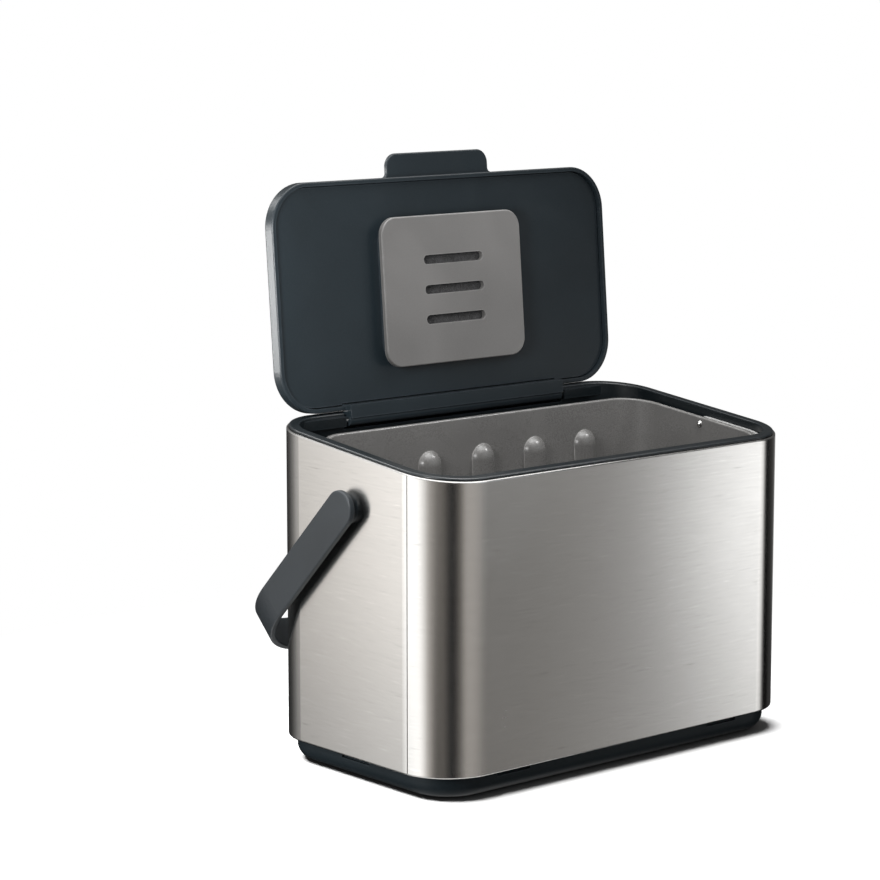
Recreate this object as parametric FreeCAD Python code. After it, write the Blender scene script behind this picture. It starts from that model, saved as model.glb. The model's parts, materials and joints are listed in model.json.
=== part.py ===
import FreeCAD, Part
import math
import os

# Worktop food waste bin, in millimetres, with X to the right, Y to the back and Z up from the table.
# The origin is on the table under the middle of the body, and the lid is drawn open.

# Gaps and cutting allowance
overrun = 4.0
fit_gap = 0.15
seat_gap = 0.3
moving_gap = 0.5
pivot_gap = 0.05
plane_tolerance = 0.01
parallel_share = 0.9999

# Body outline and the slanted top
body_width = 260.0
body_depth = 145.2
body_corner = 30.5
front_height = 152.7
top_slope = 6.275

# Steel wrap
sheet = 0.8
hem_thickness = 2.0
hem_depth = 5.0
hem_round = 0.95
bottom_lip = 6.5
bottom_round = 1.1
seam_y = -45.8
seam_width = 0.7
seam_depth = 0.45

# Base tray and feet
base_height = 12.1
base_inset = 4.8
base_wall = 4.0
base_floor = 2.5
base_round = 7.5
plug_wall = 2.0
plug_height = 7.0
catch_reach = 1.5
catch_height = 2.0
catch_length = 16.0
pry_slot_length = 23.0
pry_slot_height = 3.1
pry_slot_reach = 1.6
clip_end_inset = 53.5
side_clip_y = 1.5
foot_height = 1.0
foot_pocket = 1.0
foot_radius = 7.0
foot_side_inset = 35.0
foot_end_inset = 30.6

# Plastic rim on top of the wrap
rim_rise = 1.5
rim_inset = 1.2
rim_band = 7.2
rim_wall = 2.2
rim_outer_round = 1.1
rim_inner_round = 0.7
rim_gap_height = 0.6
rim_gap_depth = 0.6
skirt_wall = 1.8
bead_height = 1.5
ledge_thickness = 2.0

# Hinge of the lid
hinge_drop = 2.65
hinge_pin_radius = 1.2
hinge_pin_grip = 4.8
barrel_radius = 3.1
bar_half_height = 4.0
bar_step = 1.2
bar_gap = 0.8
bar_end_gap = 18.4
bar_overlap = 3.2
notch_side_gap = 2.5
notch_floor = 1.2
cheek_length = 29.2
cheek_reach = 2.6
open_angle = 101.0

# Lid cover
lid_side_gap = 2.1
lid_front_gap = 1.9
lid_rest_gap = 0.44
lid_lift = 0.53
lid_corner = 24.3
lid_thickness = 7.6
lid_top = 2.2
lip_wall = 2.4
lid_round = 1.8
lip_round = 0.8
tab_width = 74.0
tab_length = 13.0
tab_corner_share = 0.577
tab_blend_share = 0.2
tab_thickness = 2.4
tab_set = 1.0
tab_round = 0.8
vent_length = 43.0
vent_height = 4.4
vent_pitch = 16.5
vent_count = 3
vent_middle = 61.3

# Lid liner with the filter holder
liner_gap = 0.6
liner_thickness = 2.8
holder_width = 95.0
holder_depth = 73.0
holder_corner = 8.0
holder_wall = 2.0
holder_height = 4.5
holder_round = 0.7
finger_notch_width = 22.0
finger_notch_depth = 2.2
hook_places_share = 0.5
hook_length = 8.0
hook_wall = 1.25
hook_wrap = 0.5
window_side_gap = 1.0

# Filter cover and filter pad
cover_side_overlap = 3.0
cover_end_overlap = 4.5
cover_corner = 10.0
cover_thickness = 2.6
cover_round = 0.8
cover_slot_height = 5.0
skirt_side_gap = 1.5
skirt_end_gap = 1.9
skirt_floor_gap = 1.4
skirt_sheet = 1.6
pad_thickness = 4.4

# Inner bucket
bucket_drop = 3.0
bucket_wall = 1.8
bucket_back_gap = 19.6
bucket_corner = 19.5
bucket_bottom = 10.0
bucket_draft = 2.0
bucket_round = 6.0
rim_bead = 0.8
rim_bead_height = 2.2
rim_bead_round = 0.7
carry_bead = 3.0
carry_bead_drop = 8.5
carry_bead_height = 2.0
rib_count = 5
rib_pitch = 38.7
rib_radius = 8.6
rib_sink = 2.6
rib_top_drop = 15.4

# Bail of the bucket and its rivets
bail_width = 2.2
bail_height = 2.6
bail_gap = 0.4
bail_side_gap = 0.6
bail_pivot_y = -9.6
bail_eye_radius = 3.2
bail_eye_gap = 0.6
rivet_radius = 1.2
rivet_head_radius = 2.0
rivet_head_height = 1.4

# Carry handle and its pivots
handle_width = 19.6
handle_thickness = 3.5
handle_standoff = 3.5
handle_back_gap = 4.8
handle_bend_gap = 9.5
handle_round = 1.0
handle_angle = 45.0
handle_pivot_y = 0.6
handle_pivot_drop = 28.2
pivot_radius = 3.0
pivot_socket = 2.0
bush_wall = 2.0
bush_flange = 3.0
bush_inside = 1.6
clip_wall = 3.5
clip_thickness = 1.5
clip_overhang = 1.5

# Places worked out from the sizes above
slope = math.radians(top_slope)
shell_bottom = foot_height + base_height
front_top = shell_bottom + front_height
half_width = body_width / 2
half_depth = body_depth / 2
top_middle = front_top + half_depth * math.tan(slope)
sky = top_middle + body_depth
foot_x = half_width - foot_side_inset
foot_y = half_depth - foot_end_inset
front_clip_x = half_width - clip_end_inset
hinge_inset = hem_thickness + bar_gap + bar_half_height
hinge_y = half_depth - hinge_inset
rim_behind_hinge = hinge_inset - rim_inset - rim_outer_round
opening = math.radians(open_angle)
lid_clearance = hinge_drop + rim_rise + lid_rest_gap
lid_setback = lid_clearance * math.sin(opening) - rim_behind_hinge * math.cos(opening)
lid_rise = lid_thickness + lid_lift
lid_width = 2 * (half_width - rim_band - lid_side_gap)
lid_depth = hinge_y - lid_setback + half_depth - rim_band - lid_front_gap
bar_half_length = lid_width / 2 - lid_corner - bar_end_gap
notch_half = bar_half_length + notch_side_gap
tab_corner = tab_corner_share * tab_length
tab_blend = tab_blend_share * tab_length
liner_face = lid_top + liner_thickness
holder_edge = vent_middle - holder_depth / 2
hook_v = holder_edge + holder_wall / 2
hook_w = liner_face + holder_height - holder_wall / 2
hook_bore = holder_wall / 2 + pivot_gap
cover_inside = hook_w + holder_wall / 2 + moving_gap
cover_width = holder_width + 2 * cover_side_overlap
cover_depth = holder_depth + 2 * cover_end_overlap
skirt_edge = lid_top + skirt_floor_gap
ledge_drop = carry_bead_drop + carry_bead_height + seat_gap
bucket_gap = rim_bead + bail_gap + bail_width + bail_side_gap
bucket_width = 2 * (half_width - rim_band - bucket_gap)
bucket_front = -half_depth + rim_band + bucket_gap
bucket_back = half_depth - rim_band - bucket_back_gap
bucket_depth = bucket_back - bucket_front
bucket_middle = (bucket_back + bucket_front) / 2
bail_pivot_drop = ledge_drop - bail_eye_radius - bail_eye_gap
strap_lean = math.radians(handle_angle)
strap_drop = handle_width / 2 * math.sin(strap_lean)
strap_run = half_depth + handle_back_gap - handle_pivot_y + strap_drop
handle_reach = strap_run / math.cos(strap_lean) + handle_thickness
handle_bend = body_corner + handle_bend_gap
bush_barrel_radius = pivot_radius + bush_wall
bush_flange_radius = bush_barrel_radius + bush_flange
clip_radius = pivot_radius + clip_wall
X_AXIS = FreeCAD.Vector(1, 0, 0)
UP = FreeCAD.Vector(0, 0, 1)
TOP_NORMAL = FreeCAD.Vector(0, -math.sin(slope), math.cos(slope))
ORIGIN = FreeCAD.Vector(0, 0, 0)


def top_z(y, drop=0.0):
    """Height at depth y of the slanted plane that lies a drop below the top of the wrap."""
    return top_middle + y * math.tan(slope) - drop / math.cos(slope)


pivot_height = top_z(handle_pivot_y, handle_pivot_drop)


def rounded_wire(width, depth, corner, y_middle=0.0, z=0.0):
    """A rectangle with round corners, lying flat."""
    x, y = width / 2, depth / 2
    lean = corner * (1 - math.sqrt(0.5))
    middle = FreeCAD.Vector(0, y_middle, z)
    edges = []
    for sx, sy in ((1, 1), (-1, 1), (-1, -1), (1, -1)):
        along_x = middle + FreeCAD.Vector(sx * (x - corner), sy * y, 0)
        along_y = middle + FreeCAD.Vector(sx * x, sy * (y - corner), 0)
        bulge = middle + FreeCAD.Vector(sx * (x - lean), sy * (y - lean), 0)
        first, last = (along_y, along_x) if sx == sy else (along_x, along_y)
        if edges:
            edges.append(Part.makeLine(edges[-1].lastVertex().Point, first))
        edges.append(Part.Arc(first, bulge, last).toShape())
    edges.append(Part.makeLine(edges[-1].lastVertex().Point, edges[0].firstVertex().Point))
    return Part.Wire(edges)


def prism(wire, low, high):
    """A wire drawn at height zero, filled and raised from low to high."""
    solid = Part.Face(wire).extrude(FreeCAD.Vector(0, 0, high - low))
    solid.translate(FreeCAD.Vector(0, 0, low))
    return solid


def block(x_low, x_high, y_low, y_high, z_low, z_high):
    corner = FreeCAD.Vector(x_low, y_low, z_low)
    return Part.makeBox(x_high - x_low, y_high - y_low, z_high - z_low, corner)


def rod(radius, x_low, x_high, y=0.0, z=0.0):
    """A round bar along X."""
    return Part.makeCylinder(radius, x_high - x_low, FreeCAD.Vector(x_low, y, z), X_AXIS)


def body_prism(inset, low, high):
    """The outline of the body, moved in by an inset, from low to high."""
    wire = rounded_wire(body_width - 2 * inset, body_depth - 2 * inset, body_corner - inset)
    return prism(wire, low, high)


def top_slab(low, high):
    """Everything between two planes along the slanted top, measured from the top of the wrap."""
    slab = block(-body_width, body_width, -body_width, body_width, low, high)
    slab.rotate(ORIGIN, X_AXIS, top_slope)
    slab.translate(FreeCAD.Vector(0, 0, top_middle))
    return slab


def top_ring(outer_inset, inner_inset, low, high):
    """A ring that follows the outline of the body and the slant of its top."""
    ring = body_prism(outer_inset, 0, sky).cut(body_prism(inner_inset, -overrun, sky + overrun))
    return ring.common(top_slab(low, high))


def flat_face(shape, point, normal):
    """The largest flat face of a shape on the plane through a point."""
    found = []
    for face in shape.Faces:
        if not isinstance(face.Surface, Part.Plane):
            continue
        along = abs(face.normalAt(0, 0).dot(normal))
        away = abs((face.CenterOfMass - point).dot(normal))
        if along > parallel_share and away < plane_tolerance:
            found.append(face)
    return max(found, key=lambda face: face.Area)


def round_outer(shape, radius, point, normal):
    """Round the outer edge of the flat face on the plane through a point."""
    face = flat_face(shape, point, normal)
    return shape.makeFillet(radius, face.OuterWire.Edges)


def round_inner(shape, radius, point, normal):
    """Round the edges of the openings in the flat face on the plane through a point."""
    face = flat_face(shape, point, normal)
    edges = [edge for wire in face.Wires if not wire.isSame(face.OuterWire) for edge in wire.Edges]
    return shape.makeFillet(radius, edges)


def fuse(first, *others):
    return first.fuse(list(others)).removeSplitter()


# Lid coordinates: u to the right, v from the rear edge to the front edge, w from the outer face inward
def lid_prism(width, depth, corner, v_middle, w_low, w_high):
    wire = rounded_wire(width, depth, corner, -lid_setback - v_middle)
    return prism(wire, lid_rise - w_high, lid_rise - w_low)


def lid_block(u_low, u_high, v_low, v_high, w_low, w_high):
    front, rear = -lid_setback - v_high, -lid_setback - v_low
    return block(u_low, u_high, front, rear, lid_rise - w_high, lid_rise - w_low)


def lid_point(v, w):
    return FreeCAD.Vector(0, -lid_setback - v, lid_rise - w)


def lid_rod(radius, u_low, u_high, v, w):
    return rod(radius, u_low, u_high, -lid_setback - v, lid_rise - w)


def lid_slots(length, height, w_low, w_high):
    """The row of round-ended vent slots, as cutting solids."""
    slots = []
    for number in range(vent_count):
        v = vent_middle + (number - (vent_count - 1) / 2) * vent_pitch
        slots.append(lid_prism(length, height, height / 2 - plane_tolerance, v, w_low, w_high))
    return slots


def open_lid(shape):
    """Take a shape from the lid's own coordinates to its place on the open lid."""
    shape.rotate(ORIGIN, X_AXIS, top_slope - open_angle)
    shape.translate(FreeCAD.Vector(0, hinge_y, top_z(hinge_y, hinge_drop)))
    return shape


def outer_shell():
    """The steel wrap: folded hem at the top, turned-in lip at the bottom and one upright seam."""
    shell = body_prism(0, shell_bottom, sky).common(top_slab(-sky, 0))
    shell = round_outer(shell, hem_round, FreeCAD.Vector(0, 0, top_middle), TOP_NORMAL)
    shell = round_outer(shell, bottom_round, FreeCAD.Vector(0, 0, shell_bottom), UP)
    inside = body_prism(sheet, shell_bottom + sheet, sky).common(top_slab(-sky, -hem_depth))
    mouth = body_prism(hem_thickness, 0, sky).common(top_slab(-hem_depth - overrun, overrun))
    floor_opening = body_prism(bottom_lip, 0, sky)
    seam = block(
        -half_width - overrun, -half_width + seam_depth,
        seam_y - seam_width / 2, seam_y + seam_width / 2, 0, sky,
    )
    hole_radius = bush_barrel_radius + fit_gap
    holes = rod(hole_radius, -body_width, body_width, handle_pivot_y, pivot_height)
    return shell.cut([inside, mouth, floor_opening, seam, holes])


def clip_places():
    """Middle of each base clip along its wall, the wall's side and whether it is the front or back."""
    places = [(x, side, True) for x in (-front_clip_x, front_clip_x) for side in (-1, 1)]
    return places + [(side_clip_y, side, False) for side in (-1, 1)]


def clip_block(place, length, inset_low, inset_high, z_low, z_high):
    """A block at a base clip, between two insets from the outline of the body."""
    middle, side, front_or_back = place
    face = half_depth if front_or_back else half_width
    low, high = sorted((side * (face - inset_low), side * (face - inset_high)))
    near, far = middle - length / 2, middle + length / 2
    if front_or_back:
        return block(near, far, low, high, z_low, z_high)
    return block(low, high, near, far, z_low, z_high)


def foot_places():
    return [(x, y) for y in (-foot_y, foot_y) for x in (-foot_x, foot_x)]


def base_tray():
    """The plastic base: a bowl under the wrap, a plug inside its lip and catches over the lip."""
    bowl = body_prism(base_inset, foot_height, shell_bottom)
    bowl = round_outer(bowl, base_round, FreeCAD.Vector(0, 0, foot_height), UP)
    hollow_bottom = foot_height + base_floor
    hollow = body_prism(base_inset + base_wall, hollow_bottom, sky)
    hollow = round_outer(hollow, base_round - base_wall, FreeCAD.Vector(0, 0, hollow_bottom), UP)
    plug_inset = bottom_lip + fit_gap
    plug_top = shell_bottom + plug_height
    plug = body_prism(plug_inset, shell_bottom - plug_wall, plug_top)
    plug = plug.cut(body_prism(plug_inset + plug_wall, 0, sky))
    tray = fuse(bowl.cut(hollow), plug)
    catch_low = shell_bottom + sheet + fit_gap
    catches = [
        clip_block(place, catch_length, plug_inset - catch_reach, plug_inset + plug_wall / 2,
                   catch_low, catch_low + catch_height)
        for place in clip_places()
    ]
    slots = [
        clip_block(place, pry_slot_length, 0, base_inset + pry_slot_reach,
                   shell_bottom - pry_slot_height, shell_bottom)
        for place in clip_places()
    ]
    pockets = [
        Part.makeCylinder(foot_radius + fit_gap, foot_pocket + foot_height, FreeCAD.Vector(x, y, 0))
        for x, y in foot_places()
    ]
    return fuse(tray, *catches).cut(slots + pockets)


def base_foot(x, y):
    """A rubber foot in its pocket under the base."""
    return Part.makeCylinder(foot_radius, foot_height + foot_pocket, FreeCAD.Vector(x, y, 0))


def top_rim():
    """The plastic rim: top band over a shadow gap, wall inside, skirt behind the hem, ledge and hinge notch."""
    band = top_ring(rim_inset, rim_band, 0, rim_rise)
    rim_top = FreeCAD.Vector(0, 0, top_middle) + TOP_NORMAL * rim_rise
    band = round_outer(band, rim_outer_round, rim_top, TOP_NORMAL)
    band = round_inner(band, rim_inner_round, rim_top, TOP_NORMAL)
    band = band.cut(top_ring(rim_inset - overrun, rim_inset + rim_gap_depth, -overrun, rim_gap_height))
    wall = top_ring(rim_band - rim_wall, rim_band, -ledge_drop - ledge_thickness, 0)
    skirt_inset = hem_thickness + fit_gap
    bead_top = -hem_depth - fit_gap
    skirt = top_ring(skirt_inset, skirt_inset + skirt_wall, bead_top - bead_height, 0)
    bead = top_ring(sheet + fit_gap, skirt_inset + skirt_wall, bead_top - bead_height, bead_top)
    ledge = body_prism(rim_band - rim_wall, 0, sky).common(
        top_slab(-ledge_drop - ledge_thickness, -ledge_drop)
    )
    ledge = ledge.cut(bucket_prism(moving_gap, 0, sky))
    cheek_x = notch_half + cheek_length
    cheeks = block(-cheek_x, cheek_x, hinge_y - cheek_reach, half_depth - skirt_inset, 0, sky)
    cheeks = cheeks.cut(block(-notch_half, notch_half, 0, half_depth, 0, sky))
    cheeks = cheeks.common(body_prism(skirt_inset, 0, sky))
    cheeks = cheeks.common(top_slab(-hinge_drop - cheek_reach, 0))
    notch_low = -hinge_drop - bar_half_height - moving_gap
    floor = block(-notch_half, notch_half, half_depth - rim_band, half_depth - skirt_inset, 0, sky)
    floor = floor.common(top_slab(notch_low - notch_floor, notch_low))
    rim = fuse(band, wall, skirt, bead, ledge, floor, *cheeks.Solids)
    notch = block(-notch_half, notch_half, 0, half_depth - hem_thickness, 0, sky)
    notch = notch.common(top_slab(notch_low, overrun))
    pin_hole = hinge_rod(hinge_pin_radius + pivot_gap, notch_half + hinge_pin_grip)
    return rim.cut([notch, pin_hole])


def hinge_rod(radius, half_length):
    return rod(radius, -half_length, half_length, hinge_y, top_z(hinge_y, hinge_drop))


def hinge_pin():
    """The steel rod through the hinge bar of the lid, held in the cheeks of the rim."""
    return hinge_rod(hinge_pin_radius, notch_half + hinge_pin_grip - fit_gap)


def pull_tab():
    """The thin tab at the front edge of the lid, blended into that edge."""
    half = tab_width / 2
    root = -lid_setback - lid_depth
    tip = root - tab_length
    lean = 1 - math.sqrt(0.5)

    def at(x, y):
        return FreeCAD.Vector(x, y, 0)

    blend_bulge = tab_blend * lean
    corner_bulge = tab_corner * lean
    left = [
        Part.Arc(at(-half - tab_blend, root), at(-half - blend_bulge, root - blend_bulge),
                 at(-half, root - tab_blend)).toShape(),
        Part.makeLine(at(-half, root - tab_blend), at(-half, tip + tab_corner)),
        Part.Arc(at(-half, tip + tab_corner), at(-half + corner_bulge, tip + corner_bulge),
                 at(-half + tab_corner, tip)).toShape(),
    ]
    right = [edge.mirror(ORIGIN, X_AXIS) for edge in left]
    inside = root + lip_wall
    close = [
        Part.makeLine(at(-half + tab_corner, tip), at(half - tab_corner, tip)),
        Part.makeLine(at(half + tab_blend, root), at(half + tab_blend, inside)),
        Part.makeLine(at(half + tab_blend, inside), at(-half - tab_blend, inside)),
        Part.makeLine(at(-half - tab_blend, inside), at(-half - tab_blend, root)),
    ]
    outline = Part.Wire(Part.__sortEdges__(left + right + close))
    high = lid_rise - tab_set
    low = high - tab_thickness
    tab = prism(outline, low, high)
    for height in (low, high):
        tab = round_outer(tab, tab_round, FreeCAD.Vector(0, root, height), UP)
    return tab


def lid_cover():
    """The outer moulding of the lid with its lip, pull tab, vent slots and hinge bar."""
    cover = lid_prism(lid_width, lid_depth, lid_corner, lid_depth / 2, 0, lid_thickness)
    cover = round_outer(cover, lid_round, lid_point(0, 0), UP)
    cover = round_outer(cover, lip_round, lid_point(0, lid_thickness), UP)
    cover = fuse(cover, pull_tab())
    pocket = lid_prism(
        lid_width - 2 * lip_wall, lid_depth - 2 * lip_wall, lid_corner - lip_wall,
        lid_depth / 2, lid_top, lid_thickness + overrun,
    )
    barrel = rod(barrel_radius, -bar_half_length, bar_half_length)
    arm = block(
        -bar_half_length, bar_half_length, -lid_setback - bar_overlap, -bar_step,
        -bar_half_height, bar_half_height,
    )
    bore = rod(hinge_pin_radius + pivot_gap, -body_width, body_width)
    cover = fuse(cover.cut(pocket), barrel, arm)
    return open_lid(cover.cut([bore] + lid_slots(vent_length, vent_height, -overrun, liner_face)))


def hook_places():
    half = hook_places_share * holder_width / 2
    return (-half, half)


def lid_liner():
    """The inner panel of the lid with the raised holder of the filter and two hook bars."""
    edge = lip_wall + liner_gap
    panel = lid_prism(
        lid_width - 2 * edge, lid_depth - 2 * edge, lid_corner - edge,
        lid_depth / 2, lid_top, liner_face,
    )
    bar_space_half = bar_half_length + liner_gap
    bar_space = lid_block(-bar_space_half, bar_space_half, 0, bar_overlap + liner_gap, 0, lid_thickness)
    holder_top = liner_face + holder_height
    holder = lid_prism(holder_width, holder_depth, holder_corner, vent_middle, lid_top, holder_top)
    recess = lid_prism(
        holder_width - 2 * holder_wall, holder_depth - 2 * holder_wall, holder_corner - holder_wall,
        vent_middle, 0, holder_top + overrun,
    )
    liner = fuse(panel.cut(bar_space), holder).cut(recess)
    liner = round_outer(liner, holder_round, lid_point(vent_middle, holder_top), UP)
    liner = round_inner(liner, holder_round, lid_point(vent_middle, holder_top), UP)
    front_wall = vent_middle + holder_depth / 2
    cuts = [
        lid_block(-finger_notch_width / 2, finger_notch_width / 2, front_wall - holder_wall - overrun,
                  front_wall + overrun, holder_top - finger_notch_depth, holder_top + overrun)
    ]
    reach = hook_bore + hook_wall + seat_gap
    for u in hook_places():
        low = u - hook_length / 2 - window_side_gap
        high = u + hook_length / 2 + window_side_gap
        window = lid_rod(reach, low, high, hook_v, hook_w)
        cuts.append(window.cut(lid_rod(holder_wall / 2, low, high, hook_v, hook_w)))
    return open_lid(liner.cut(cuts))


def filter_cover():
    """The grey vented plate with a skirt for the filter and two hooks round the holder's bars."""
    plate_face = cover_inside + cover_thickness
    plate = lid_prism(cover_width, cover_depth, cover_corner, vent_middle, cover_inside, plate_face)
    plate = round_outer(plate, cover_round, lid_point(vent_middle, plate_face), UP)
    skirt = skirt_prism(0, skirt_edge, cover_inside)
    skirt = skirt.cut(skirt_prism(skirt_sheet, 0, cover_inside))
    hooks = []
    for u in hook_places():
        low, high = u - hook_length / 2, u + hook_length / 2
        ring = lid_rod(hook_bore + hook_wall, low, high, hook_v, hook_w)
        ring = ring.cut(lid_rod(hook_bore, low, high, hook_v, hook_w))
        mouth = lid_block(low, high, 0, hook_v - hook_wrap, 0, cover_inside)
        hooks.append(ring.cut(mouth))
    cover = fuse(plate, skirt, *hooks)
    bore = [
        lid_rod(hook_bore, u - hook_length / 2, u + hook_length / 2, hook_v, hook_w)
        for u in hook_places()
    ]
    slots = lid_slots(vent_length, cover_slot_height, 0, plate_face + overrun)
    return open_lid(cover.cut(bore + slots))


def skirt_prism(inset, w_low, w_high):
    """The outline of the cover's skirt, moved in by an inset."""
    width = holder_width - 2 * (holder_wall + skirt_side_gap + inset)
    depth = holder_depth - 2 * (holder_wall + skirt_end_gap + inset)
    return lid_prism(width, depth, holder_corner - holder_wall - inset, vent_middle, w_low, w_high)


def carbon_filter():
    """The soft filter pad, pushed into the skirt of the cover."""
    pad_back = cover_inside - fit_gap
    return open_lid(skirt_prism(skirt_sheet + fit_gap, pad_back - pad_thickness, pad_back))


def bucket_wire(outset, z):
    """The outline of the bucket at a height, growing upward by its draft, moved out by an outset."""
    grow = outset + (z - top_middle) * math.tan(math.radians(bucket_draft))
    return rounded_wire(
        bucket_width + 2 * grow, bucket_depth + 2 * grow, bucket_corner + grow, bucket_middle, z,
    )


def bucket_prism(outset, low, high):
    """The upright outline of the bucket's mouth, moved out by an outset."""
    return prism(rounded_wire(
        bucket_width + 2 * outset, bucket_depth + 2 * outset, bucket_corner + outset, bucket_middle,
    ), low, high)


def tub(outset, low):
    """A solid with the bucket's sloping sides, from low to well above the bucket."""
    return Part.makeLoft([bucket_wire(outset, low), bucket_wire(outset, sky)], True, True)


def bucket_ribs():
    """Upright ribs with domed tops on the back wall inside the bucket."""
    y = bucket_back - bucket_wall + rib_sink
    half_rib = math.sqrt(rib_radius ** 2 - rib_sink ** 2)
    dome = top_z(bucket_back, bucket_drop) - rib_top_drop - half_rib
    ribs = []
    for number in range(rib_count):
        place = FreeCAD.Vector((number - (rib_count - 1) / 2) * rib_pitch, y, bucket_bottom)
        post = Part.makeCylinder(rib_radius, dome - bucket_bottom, place)
        ball = Part.makeSphere(rib_radius, FreeCAD.Vector(place.x, y, dome))
        ribs.append(post.fuse(ball))
    return ribs


def bail_slot(side):
    """Room for the eye of the bail in the carrying bead of the bucket."""
    x = side * bucket_width / 2
    low, high = sorted((x + side * bail_gap / 2, x + side * (carry_bead + overrun)))
    reach = bail_eye_radius + moving_gap
    return block(low, high, bail_pivot_y - reach, bail_pivot_y + reach, 0, sky).common(
        top_slab(-carry_bead_drop - overrun, -bucket_drop - rim_bead_height)
    )


def inner_bucket():
    """The lift-out bucket: sloping walls, rim bead, carrying bead and ribs."""
    outside = tub(0, bucket_bottom)
    outside = round_outer(outside, bucket_round, FreeCAD.Vector(0, bucket_middle, bucket_bottom), UP)
    below_rim = top_slab(-sky, -bucket_drop)
    floor_top = bucket_bottom + bucket_wall
    hollow = tub(-bucket_wall, floor_top)
    floor_middle = FreeCAD.Vector(0, bucket_middle, floor_top)
    hollow = round_outer(hollow, bucket_round - bucket_wall, floor_middle, UP)
    lip = bucket_prism(rim_bead, 0, sky).common(top_slab(-bucket_drop - rim_bead_height, -bucket_drop))
    carrier = bucket_prism(carry_bead, 0, sky).common(
        top_slab(-carry_bead_drop - carry_bead_height, -carry_bead_drop)
    )
    carrier = carrier.cut([bail_slot(-1), bail_slot(1)])
    bucket = fuse(outside.common(below_rim), lip, carrier).cut(hollow)
    bucket_top = FreeCAD.Vector(0, 0, top_middle) - TOP_NORMAL * bucket_drop
    bucket = round_outer(bucket, rim_bead_round, bucket_top, TOP_NORMAL)
    bucket = round_inner(bucket, rim_bead_round, bucket_top, TOP_NORMAL)
    ribs = [rib.common(outside) for rib in bucket_ribs()]
    bucket = fuse(bucket, *ribs)
    return bucket.cut(bail_rod(rivet_radius + pivot_gap, body_width))


def bail_rod(radius, half_length):
    return rod(radius, -half_length, half_length, bail_pivot_y, top_z(bail_pivot_y, bail_pivot_drop))


def bucket_bail():
    """The flat bail, folded forward round the bucket's rim, with an eye at each rivet."""
    inner = rim_bead + bail_gap
    strip = bucket_prism(inner + bail_width, 0, sky).cut(bucket_prism(inner, -overrun, sky + overrun))
    strip = strip.common(top_slab(-bucket_drop - bail_height, -bucket_drop))
    strip = strip.cut(block(-body_width, body_width, bail_pivot_y, body_depth, 0, sky))
    x_low = bucket_width / 2 + inner
    x_high = x_low + bail_width
    z = top_z(bail_pivot_y, bail_pivot_drop)
    eyes = []
    for low, high in ((-x_high, -x_low), (x_low, x_high)):
        eye = rod(bail_eye_radius, low, high, bail_pivot_y, z)
        shank = block(low, high, bail_pivot_y - 2 * bail_eye_radius, bail_pivot_y, z, sky)
        shank = shank.common(top_slab(-bail_pivot_drop, -bucket_drop))
        eyes.append(eye.fuse(shank))
    return fuse(strip, *eyes).cut(bail_rod(rivet_radius + pivot_gap, body_width))


def bail_rivet(side):
    """A steel rivet through the bucket wall and the eye of the bail, with a domed head inside."""
    z = top_z(bail_pivot_y, bail_pivot_drop)
    lean = (top_middle - z + rivet_head_radius) * math.tan(math.radians(bucket_draft))
    head_face = bucket_width / 2 - bucket_wall - lean - fit_gap
    tip = bucket_width / 2 + rim_bead + bail_gap + bail_width
    shank = rod(rivet_radius, head_face, tip, bail_pivot_y, z)
    dome_radius = (rivet_head_radius ** 2 + rivet_head_height ** 2) / (2 * rivet_head_height)
    middle = FreeCAD.Vector(head_face + dome_radius - rivet_head_height, bail_pivot_y, z)
    dome = Part.makeSphere(dome_radius, middle)
    dome = dome.common(rod(dome_radius, head_face - rivet_head_height, head_face, bail_pivot_y, z))
    rivet = fuse(shank, dome)
    return rivet if side > 0 else rivet.mirror(ORIGIN, X_AXIS)


def handle_wire():
    """The flat outline of the strap, bent to a U, with its pivots on the X axis."""
    outer = half_width + handle_standoff + handle_thickness
    inner = outer - handle_thickness
    bend_y = handle_reach - handle_bend
    middle_x = outer - handle_bend
    inner_bend = handle_bend - handle_thickness
    inner_reach = handle_reach - handle_thickness
    end = -handle_width / 2

    def at(x, y):
        return FreeCAD.Vector(x, y, 0)

    def bend(side, radius, first, last):
        slant = radius * math.sqrt(0.5)
        return Part.Arc(first, at(side * (middle_x + slant), bend_y + slant), last).toShape()

    edges = [
        Part.makeLine(at(-outer, end), at(-outer, bend_y)),
        bend(-1, handle_bend, at(-outer, bend_y), at(-middle_x, handle_reach)),
        Part.makeLine(at(-middle_x, handle_reach), at(middle_x, handle_reach)),
        bend(1, handle_bend, at(middle_x, handle_reach), at(outer, bend_y)),
        Part.makeLine(at(outer, bend_y), at(outer, end)),
        Part.makeLine(at(outer, end), at(inner, end)),
        Part.makeLine(at(inner, end), at(inner, bend_y)),
        bend(1, inner_bend, at(inner, bend_y), at(middle_x, inner_reach)),
        Part.makeLine(at(middle_x, inner_reach), at(-middle_x, inner_reach)),
        bend(-1, inner_bend, at(-middle_x, inner_reach), at(-inner, bend_y)),
        Part.makeLine(at(-inner, bend_y), at(-inner, end)),
        Part.makeLine(at(-inner, end), at(-outer, end)),
    ]
    return Part.Wire(edges)


def park_handle(shape):
    """Take a shape from the handle's own coordinates to its parked place behind the body."""
    shape.rotate(ORIGIN, X_AXIS, -handle_angle)
    shape.translate(FreeCAD.Vector(0, handle_pivot_y, pivot_height))
    return shape


def carry_handle():
    """The flat plastic strap with round arm ends and a blind socket for each pivot pin."""
    half = handle_width / 2
    strap = prism(handle_wire(), -half, half)
    round_end = rod(half, -body_width, body_width)
    straight = block(-body_width, body_width, 0, handle_reach + overrun, -half, half)
    strap = strap.common(round_end.fuse(straight).removeSplitter())
    strap = strap.makeFillet(handle_round, strap.Edges)
    inner = half_width + handle_standoff
    sockets = rod(pivot_radius, -inner - pivot_socket, inner + pivot_socket)
    return park_handle(strap.cut(sockets))


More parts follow.
